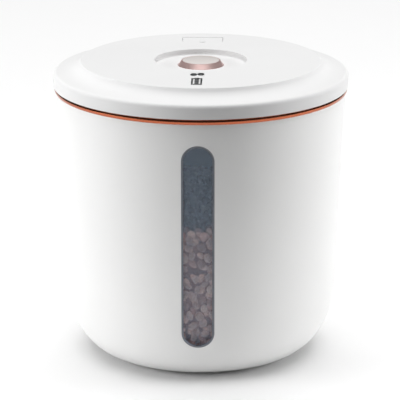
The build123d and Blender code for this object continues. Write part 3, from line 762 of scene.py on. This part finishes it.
class SetStatusMarks(Step):
    """Sets the pump and cell marks flush in the lid"""

    bl_idname = "food_drum.set_status_marks"
    bl_label = "Status marks"

    plate_depth = 0.7 * MM
    plate_corner = 2.0 * MM
    mark_corner = 0.3 * MM
    bar_corner = 0.4 * MM
    bar_gap = 0.8 * MM
    bar_count = 3
    proud = 0.12 * MM

    def air_mark(self, marks, low, high, level):
        """Two ovals side by side, for the pump."""
        middle = (low + high) / 2
        width, depth = high.x - low.x, high.y - low.y
        for side in (-1, 1):
            x = middle.x + side * width * 0.25
            y = middle.y + side * depth * 0.06
            slab(marks, oval_outline(x, y, width * 0.49, depth * 0.8), level, level + self.proud)

    def cell_mark(self, marks, low, high, level, stroke):
        """Outline of a cell with its nub and charge bars."""
        x, y = ((low + high) / 2).xy
        width = high.x - low.x
        depth = (high.y - low.y) * 0.9
        round_off = stroke * 0.3
        lines = []
        for side in (-1, 1):
            lines.append((x + side * (width - stroke) / 2, y, stroke, depth, round_off))
        for side in (-1, 1):
            end = y + side * (depth / 2 - stroke)
            lines.append((x, end, width - 2.2 * stroke, 2 * stroke, round_off))
        lines.append((x, y + depth / 2 + 0.8 * MM, width * 0.4, 1.2 * MM, self.mark_corner))
        inner = depth - 4 * stroke - 2 * self.bar_gap
        bar = (inner - (self.bar_count - 1) * self.bar_gap) / self.bar_count
        for i in range(self.bar_count):
            centre = y - inner / 2 + bar / 2 + i * (bar + self.bar_gap)
            lines.append((x, centre, width - 4 * stroke, bar, self.bar_corner))
        for line in lines:
            slab(marks, rounded_outline(*line, steps=3), level, level + self.proud)

    def make(self, scene):
        look = scene.drum_status
        solids = sorted(islands("status_marks"), key=lambda s: -s[0].y)
        top = top_of("status_marks")
        plates = bmesh.new()
        for middle, low, high in solids:
            size = (high.x - low.x, high.y - low.y)
            outline = rounded_outline(middle.x, middle.y, *size, self.plate_corner)
            slab(plates, outline, top - self.plate_depth, top)
        marks = bmesh.new()
        air, cell = solids
        self.air_mark(marks, air[1], air[2], top)
        self.cell_mark(marks, cell[1], cell[2], top, look.stroke)
        plate = moulded("mark_plate", scene.drum_lid.shell, scene.drum_lid.shell_roughness)
        mesh = to_mesh("status_plates", plates)
        finished("status_plates", mesh, plate, "lid", ("status_marks",))
        ink = moulded("status_ink", look.mark, 0.35)
        finished("status_symbols", to_mesh("status_symbols", marks), ink, "lid")


class DriveScrews(Step):
    """Makes the countersunk screws with cross recesses"""

    bl_idname = "food_drum.drive_screws"
    bl_label = "Screws"

    shank_radius = 1.5 * MM
    head_height = 1.5 * MM
    head_ease = 0.06 * MM
    pitch = 0.7 * MM
    tool_rise = 0.5 * MM  # how far the cross cutter stands out of the head

    def cross(self, head_radius):
        """Cutter for the cross recess, one quarter turn at a time."""
        arm = head_radius * 0.62
        thick = head_radius * 0.11
        quarter = [(arm, -thick), (arm, thick), (thick, thick)]
        outline = []
        for _ in range(4):
            outline += quarter
            quarter = [(-y, x) for x, y in quarter]
        tool = bmesh.new()
        slab(tool, outline, -self.tool_rise, self.head_height * 0.75)
        return to_mesh("cross", tool, smooth=False)

    def screw(self, length, head_radius):
        """One screw that points up from height 0, with threads as rings."""
        shank, pitch = self.shank_radius, self.pitch
        profile = [(0, 0), (head_radius * 0.97, 0), (head_radius, self.head_ease)]
        profile.append((shank, self.head_height))
        height = self.head_height + pitch
        while height < length - 2 * pitch:
            profile += [(shank * 0.82, height), (shank, height + pitch / 2)]
            height += pitch
        profile += [(shank * 0.7, length - pitch), (0, length)]
        return cut(to_mesh("screw", lathe(profile, 24)), self.cross(head_radius))

    def make(self, scene):
        steel = metallic("screw_steel", (0.5, 0.5, 0.52), 0.3)
        copies = copies_at_points()
        for node, body in (("bin_screws", "container"), ("lid_screws", "lid")):
            solids = islands(node)
            low, high = solids[0][1], solids[0][2]
            shape = self.screw(high.z - low.z, (high.x - low.x) / 2)
            part = new_object("screw_part", shape)
            points = points_mesh([(s[0].x, s[0].y, s[1].z) for s in solids])
            mesh = copies.grow(points, {"Part": part, "Material": steel})
            bpy.data.objects.remove(part)
            finished(node + "_cross", mesh, steel, body, (node,))


class PressFeet(Step):
    """Makes the four rubber feet with their ribbed undersides"""

    bl_idname = "food_drum.press_feet"
    bl_label = "Feet"

    groove_depth = 0.35 * MM
    groove_count = 4
    edge_ease = 0.6 * MM

    def foot(self, radius, top):
        """One foot with round grooves in its underside."""
        rise, ease = self.groove_depth, self.edge_ease
        profile = [(0, 0), (radius * 0.2, 0)]
        for i in range(self.groove_count):
            inner = radius * (0.24 + 0.16 * i)
            outer = inner + radius * 0.1
            profile += [(inner, rise), (outer - radius * 0.02, rise), (outer, 0)]
            profile.append((inner + radius * 0.14, 0))
        profile += [(radius - ease, 0), (radius - ease * 0.3, ease * 0.3), (radius, ease)]
        profile += [(radius, top), (0, top)]
        return to_mesh("foot", lathe(profile, 48))

    def make(self, scene):
        rubber = rubbery("foot_rubber", (0.07, 0.072, 0.075))
        solids = islands("feet")
        low, high = solids[0][1], solids[0][2]
        part = new_object("foot_part", self.foot((high.x - low.x) / 2, high.z - low.z))
        points = points_mesh([(s[0].x, s[0].y, s[1].z) for s in solids])
        mesh = copies_at_points().grow(points, {"Part": part, "Material": rubber})
        bpy.data.objects.remove(part)
        finished("rubber_feet", mesh, rubber, "container", ("feet",))


class SetStage(Step):
    """Sets the floor, the soft light and the camera"""

    bl_idname = "food_drum.set_stage"
    bl_label = "Studio"

    floor_side = 1.6  # metres from the middle to each side
    floor_back = 2.6
    front_depth = 0.5
    sun_strength = 3.1
    sun_angle = math.radians(70)
    sun_tilt = math.radians(-8)
    box_size = (0.7, 1.0)
    room_light = 0.05
    room_seen = 1.0  # what the camera sees behind the object
    film_width = 36.0
    film_shift = (-0.0021, 0.0458)

    def holder(self, name, data):
        """Object that carries a light or a camera."""
        piece = bpy.data.objects.new(name, data)
        bpy.context.scene.collection.objects.link(piece)
        return piece

    def floor(self, look):
        """Pale floor in two sheets, of which the front one lights nothing."""
        pale = Finish("pale_floor").mottled(tuple(look.floor), 0.004, 2.0).rough(0.6, 0.03, 20.0)
        side = self.floor_side
        sheets = (
            ("floor", look.near, self.floor_back),
            ("floor_front", look.near - self.front_depth, look.near),
        )
        for name, near, far in sheets:
            sheet = bmesh.new()
            corners = ((-side, near), (side, near), (side, far), (-side, far))
            sheet.faces.new([sheet.verts.new((x, y, 0)) for x, y in corners])
            mesh = to_mesh(name, sheet)
            mesh.materials.append(pale.material)
            piece = new_object(name, mesh)
            piece.visible_diffuse = name == "floor"

    def room(self, scene):
        """White surroundings that are bright to the camera and dim as a light."""
        world = bpy.data.worlds.new("studio")
        world.use_nodes = True
        walls = world.node_tree.nodes["Background"]
        walls.inputs["Color"].default_value = (1.0, 1.0, 1.0, 1)
        seen = world.node_tree.nodes.new("ShaderNodeLightPath")
        level = world.node_tree.nodes.new("ShaderNodeMapRange")
        level.inputs["To Min"].default_value = self.room_light
        level.inputs["To Max"].default_value = self.room_seen
        world.node_tree.links.new(seen.outputs["Is Camera Ray"], level.inputs["Value"])
        world.node_tree.links.new(level.outputs["Result"], walls.inputs["Strength"])
        scene.world = world

    def overhead(self):
        sun = bpy.data.lights.new("overhead", "SUN")
        sun.energy = self.sun_strength
        sun.angle = self.sun_angle
        self.holder("overhead", sun).rotation_euler = (self.sun_tilt, 0, 0)

    def softbox(self, name, place, target, power):
        """Large soft light that doesn't show in reflections."""
        light = bpy.data.lights.new(name, "AREA")
        light.shape = "RECTANGLE"
        light.size, light.size_y = self.box_size
        light.energy = power
        piece = self.holder(name, light)
        piece.location = place
        piece.rotation_euler = (Vector(target) - Vector(place)).to_track_quat("-Z", "Y").to_euler()
        piece.visible_glossy = False

    def camera(self, scene, look, middle):
        """Camera that looks at the middle from in front and above."""
        camera = bpy.data.cameras.new("camera")
        camera.lens = look.focal
        camera.sensor_width = self.film_width
        camera.shift_x, camera.shift_y = self.film_shift
        across = math.cos(look.pitch) * look.distance
        rise = math.sin(look.pitch) * look.distance
        offset = Vector((math.sin(look.turn) * across, -math.cos(look.turn) * across, rise))
        piece = self.holder("camera", camera)
        piece.location = middle + offset
        piece.rotation_euler = (-offset).to_track_quat("-Z", "Y").to_euler()
        scene.camera = piece

    def make(self, scene):
        look = scene.drum_studio
        low, high = cad_bounds
        middle = Vector((0, 0, 0.9 * (high[0] - low[0]) / 2))
        self.floor(look)
        self.room(scene)
        self.overhead()
        self.softbox("left_box", (-1.52, -0.42, 0.4), middle, 16)
        self.softbox("right_box", (1.56, 0.05, 0.4), middle, 13)
        self.camera(scene, look, middle)
        scene.view_settings.view_transform = "Standard"


PROPERTY_GROUPS = (
    ("drum_container", ContainerFinish),
    ("drum_lid", LidFinish),
    ("drum_food", FoodLook),
    ("drum_status", StatusLook),
    ("drum_studio", StudioLook),
)
STEPS = (
    PaintContainer,
    PaintLid,
    PaintWorks,
    WindSprings,
    PourFood,
    SetStatusMarks,
    DriveScrews,
    PressFeet,
    SetStage,
)


class FoodDrumPanel(bpy.types.Panel):
    """Lists the steps that build the food drum"""

    bl_idname = "VIEW3D_PT_food_drum"
    bl_label = "Food Drum"
    bl_space_type = "VIEW_3D"
    bl_region_type = "UI"
    bl_category = "Food Drum"

    def draw(self, context):
        for step in STEPS:
            self.layout.operator(step.bl_idname)
        for name, group in PROPERTY_GROUPS:
            box = self.layout.box()
            for key in group.__annotations__:
                box.prop(getattr(context.scene, name), key)


def register():
    for name, group in PROPERTY_GROUPS:
        bpy.utils.register_class(group)
        setattr(bpy.types.Scene, name, PointerProperty(type=group))
    for step in STEPS:
        bpy.utils.register_class(step)
    bpy.utils.register_class(FoodDrumPanel)


def unregister():
    bpy.utils.unregister_class(FoodDrumPanel)
    for step in reversed(STEPS):
        bpy.utils.unregister_class(step)
    for name, group in reversed(PROPERTY_GROUPS):
        delattr(bpy.types.Scene, name)
        bpy.utils.unregister_class(group)


def main():
    register()
    for step in STEPS:
        group, name = step.bl_idname.split(".")
        getattr(getattr(bpy.ops, group), name)()


if __name__ == "__main__":
    main()
